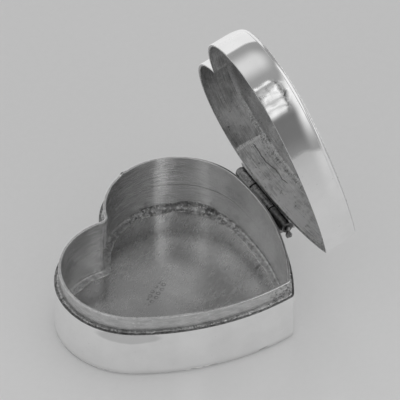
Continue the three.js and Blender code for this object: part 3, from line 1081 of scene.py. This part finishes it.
def hinge_pin():
    """A wire whose front end is spread, split and bent, and whose rear end is rubbed round."""
    low, high, head = pin_span("hinge_pin")
    head *= HEAD_SHARE
    free = low + HEAD_FREE
    section = [(0.03, low)] + [(head * share, low + back) for share, back in HEAD]
    section += [(PIN_R, along) for along in np.linspace(low + 0.8, free, 6)[:-1]]
    section += [(PIN_R, along) for along in np.linspace(free, high - 0.12, 12)]
    section = np.array(section + [(PIN_R * 0.8, high - 0.02), (0.03, high)])
    grid = around_pin(section, 0.06, 81)
    across = (grid - PIN_POINT) @ PIN_OUT
    along = (grid - PIN_POINT) @ PIN_AXIS
    split = SPLIT_DEPTH * np.clip(1 - np.abs(across) / SPLIT_W, 0, 1)
    split *= np.clip((low + SPLIT_REACH - along) / SPLIT_REACH, 0, 1)
    bent = np.clip((free - along) / 0.8, 0, 1) ** 1.5
    grid = grid + split[..., None] * PIN_AXIS + bent[..., None] * HEAD_BEND
    u = np.linspace(0, math.pi, RING_STEPS + 1)
    v = lengths_around(section)[:-1]
    tips = grid[0].mean(0), grid[-1].mean(0)
    skin = Skin()
    skin.add_rows_and_tips(grid, u, v, [0] * (len(grid) - 1), tips, (0.1, 0.1))
    skin.build("pin_wire", "base", [PIN_DARK], "hinge_pin")


def wall_behind_pin(along):
    """How far outward the wall's outside is, beside a place along the pin."""
    local = ring(0, PIN_POINT[2]) - PIN_POINT
    out, run = local @ PIN_OUT, local @ PIN_AXIS
    keep = (out > -12) & (np.abs(run) < 20)
    order = np.argsort(run[keep])
    return np.interp(along, run[keep][order], out[keep][order])


def leaf_section(wall, seam, near=0.06):
    """A leaf's outline across the pin: the gutter, its rounded back, a flat above the pin, the
    side that meets the wall, and the underside at the seam with the other leaf."""
    lip = math.pi - math.asin(seam / LEAF_INNER)
    lip_x = LEAF_INNER * math.cos(lip)
    return np.concatenate([
        arc(0, 0, LEAF_INNER, lip - 0.03, LEAF_EDGE, 21)[0],
        arc(0, 0, LEAF_OUTER, LEAF_EDGE, math.pi / 2, 11)[0],
        np.linspace((-0.05, LEAF_OUTER), (wall + near, LEAF_OUTER), 5),
        np.linspace((wall, LEAF_OUTER - near), (wall, seam + near), 5),
        np.linspace((wall + near, seam), (lip_x - 0.04, seam), 5)])


def leaf(name, node, body, side, seam, material, worn_back=0.0):
    """A hinge leaf: a gutter round the knuckles with a flat back that meets the wall. side is
    1 over the pin and -1 under it, and worn_back shortens the leaf at the front."""
    low, high, _ = pin_span(node)
    low += worn_back
    near = 0.05
    stops = np.concatenate([[low, low + near], np.linspace(low + 2 * near, high - 2 * near, 60),
                            [high - near, high]])
    rows = []
    for along in stops:
        loop = leaf_section(max(wall_behind_pin(along), LEAF_LEAST), seam)
        if along in (low, high):
            ahead = np.roll(loop, -1, 0) - np.roll(loop, 1, 0)
            outward = np.column_stack([ahead[:, 1], -ahead[:, 0]])
            loop = loop - outward / np.linalg.norm(outward, axis=1)[:, None] * near
        rows.append(from_pin(loop[:, 0], along, side * loop[:, 1]))
    grid = np.array(rows)
    grid = grid + (bumps(grid, 1.0, 91) * 0.015)[..., None] * UP
    if side < 0:
        grid = grid[:, ::-1]
    skin = Skin()
    first = skin.add_rows(grid, lengths_around(grid[LEAF_FULL_ROW]), stops - low,
                          [0] * (len(grid) - 1), closed=False)
    flat = np.column_stack([grid[0] @ PIN_OUT, grid[0][:, 2]])
    skin.add_cap(first, flat, True)
    skin.add_cap(first + (len(grid) - 1) * grid.shape[1], flat, False)
    skin.build(name, body, [material], node)


# ---------------------- assemble the object

base_floor()
base_wall()
collar()
ledge_solder()
floor_solder()
lid_wall()
lid_cover()
lid_solder()
knuckle("knuckle_front", "front_knuckle", "base", FRONT_DARK)
knuckle("knuckle_rear", "rear_knuckle", "base", HINGE_DARK)
knuckle("knuckle_lid", "lid_knuckle", "lid", HINGE_DARK)
hinge_pin()
leaf("leaf_base", "base_hinge_leaf", "base", -1, BASE_SEAM, FRONT_DARK, LEAF_WORN)
# The lid's leaf carries tarnish and painted shade of the gap.
leaf("leaf_lid", "lid_hinge_leaf", "lid", 1, LID_RIM_Z - PIN_POINT[2], LEAF_DARK)

# ---------------------- floor, light and camera

FLOOR_GLOW = 0.155
GLOW_BEHIND = 0.32  # added behind the box, in its reflections only
FLOOR_FAR, FLOOR_NEAR = 3000, -400
AWAY = (0.848, 0.53, 0)  # level, away from the camera

BACKDROP = 0.51  # what the camera sees of the world
FILL = 0.64  # what lights dull surfaces
SURROUND = 0.33  # what reflections see, before the lights and dark places below

# Broad soft lights and dark places round the box: heading and height of the middle, half
# sizes, softness (all in degrees), and radiance added in a first reflection and in a
# reflection of a reflection.
PANELS = [
    (122, -9, 24, 38, 2, 0.52, 0.52),
    (-30, 12, 14, 16, 8, -0.16, -0.16),
    (32, 35, 42, 30, 9, 0.6, 0.6),
    (-105, 45, 4, 25, 4, 0.3, 0.3),
    (-36, 48, 6, 19, 4, 0.55, 1.1),
    (-72, 42, 24, 24, 8, -0.14, -0.14),
]
# Round ones: heading and height of the middle, radius, softness and radiance added.
DISCS = [
    (150, 66, 16, 12, 0.36),
    (-177, 40, 14, 10, 0.13),
    (-47, 63, 3.5, 2, -0.25),
    (-58, 75, 2.2, 1, 0.7),
]
# Uneven tones of the room in front of the box: the middle's heading and height, the angles at
# which they are full and gone, and strength.
CLUTTER_AT, CLUTTER_FULL, CLUTTER_GONE, CLUTTER = (-42, 52), 16, 30, 2.2
DARKEST = 0.04
# The world sees a first reflection with a Ray Depth of 2, and a reflection of one with 3.
REFLECTED_AGAIN = 2.5

CAMERA_HEADING = -64.853
CAMERA_HEIGHT = 42.10
CAMERA_ROLL = math.radians(0.905)
CAMERA_DISTANCE = 1424.70
CAMERA_LENS = 740.1
CAMERA_SHIFT = (7.635, 15.672)
CAMERA_NEAR, CAMERA_FAR = 100, 20000


def pale_floor(t, _, place):
    away = t.dot(place, AWAY)
    colour = t.noise(place, 0.8, 3, 0.6).remap(0.3, 0.7, 0.615, 0.625)
    colour = colour * away.remap(-20.0, 60.0, 1.0, 0.9)
    glossy = Value(t, t.node("ShaderNodeLightPath").outputs["Is Glossy Ray"])
    glow = glossy * away.remap(40.0, 60.0) * GLOW_BEHIND + FLOOR_GLOW
    shader = t.node("ShaderNodeBsdfPrincipled", {
        "Base Color": colour, "Roughness": 0.6, "Specular IOR Level": 0.2,
        "Coat Weight": 0.5, "Coat Roughness": 0.06, "Coat IOR": 1.4,
        "Emission Color": (1, 1, 1, 1), "Emission Strength": glow})
    t.node("ShaderNodeOutputMaterial", {"Surface": shader.outputs[0]})


def studio_floor():
    mesh = bpy.data.meshes.new("studio_floor")
    corners = [(-FLOOR_FAR, FLOOR_NEAR, 0), (FLOOR_FAR, FLOOR_NEAR, 0),
               (FLOOR_FAR, FLOOR_FAR, 0), (-FLOOR_FAR, FLOOR_FAR, 0)]
    mesh.from_pydata((np.array(corners) * MM).tolist(), [], [(0, 1, 2, 3)])
    mesh.materials.append(new_material("studio_floor", pale_floor))
    piece = bpy.data.objects.new("studio_floor", mesh)
    bpy.context.scene.collection.objects.link(piece)


def heading_vector(heading, height):
    a, e = math.radians(heading), math.radians(height)
    return math.sin(a) * math.cos(e), -math.cos(a) * math.cos(e), math.sin(e)


def studio_world():
    world = bpy.data.worlds.new("studio")
    bpy.context.scene.world = world
    t = Tree(world)
    way = t.node("ShaderNodeTexCoord").outputs["Generated"]
    x, y, z = t.split(way)
    heading = t.calc("DEGREES", t.calc("ARCTAN2", x, y * -1.0))
    height = t.calc("DEGREES", t.calc("ARCSINE", z))
    rays = t.node("ShaderNodeLightPath").outputs
    again = t.calc("GREATER_THAN", rays["Ray Depth"], REFLECTED_AGAIN)
    level = SURROUND
    for az, el, wide, tall, soft, gain, gain_again in PANELS:
        turned = t.calc("WRAP", heading - az, 180.0, -180.0)
        side = abs(turned).remap(wide - soft, wide + soft, 1.0, 0.0)
        lift = abs(height - el).remap(tall - soft, tall + soft, 1.0, 0.0)
        level = side * lift * t.mix(again, gain, gain_again) + level
    for az, el, radius, soft, gain in DISCS:
        facing = t.calc("MINIMUM", t.dot(way, heading_vector(az, el)), 1.0)
        away = t.calc("DEGREES", t.calc("ARCCOSINE", facing))
        level = away.remap(radius - soft, radius + soft, 1.0, 0.0) * gain + level
    near = t.dot(way, heading_vector(*CLUTTER_AT)).remap(
        math.cos(math.radians(CLUTTER_GONE)), math.cos(math.radians(CLUTTER_FULL)))
    patches = (t.noise(way, 9.0, 3, 0.65) - 0.5) * (1.0 - again) * CLUTTER
    level = t.calc("MAXIMUM", near * patches + level, DARKEST)
    strength = t.mix(rays["Is Glossy Ray"], FILL, level)
    strength = t.mix(rays["Is Camera Ray"], strength, BACKDROP)
    light = t.node("ShaderNodeBackground", {"Color": (1, 1, 1, 1), "Strength": strength})
    t.node("ShaderNodeOutputWorld", {"Surface": light.outputs[0]})
    world.cycles.sampling_method = "NONE"


def photo_camera():
    back = Vector(heading_vector(CAMERA_HEADING, CAMERA_HEIGHT))
    level_right = Vector(UP).cross(back).normalized()
    level_up = back.cross(level_right)
    right = math.cos(CAMERA_ROLL) * level_right + math.sin(CAMERA_ROLL) * level_up
    up = back.cross(right)
    place = back * CAMERA_DISTANCE + right * CAMERA_SHIFT[0] + up * CAMERA_SHIFT[1]
    data = bpy.data.cameras.new("photo_camera")
    data.lens = CAMERA_LENS
    data.sensor_width = 36
    data.clip_start, data.clip_end = CAMERA_NEAR * MM, CAMERA_FAR * MM
    camera = bpy.data.objects.new("photo_camera", data)
    turn = Matrix((right, up, back)).transposed().to_4x4()
    camera.matrix_world = Matrix.Translation(place * MM) @ turn
    bpy.context.scene.collection.objects.link(camera)
    bpy.context.scene.camera = camera


studio_floor()
studio_world()
photo_camera()
bpy.context.scene.view_settings.view_transform = "Standard"
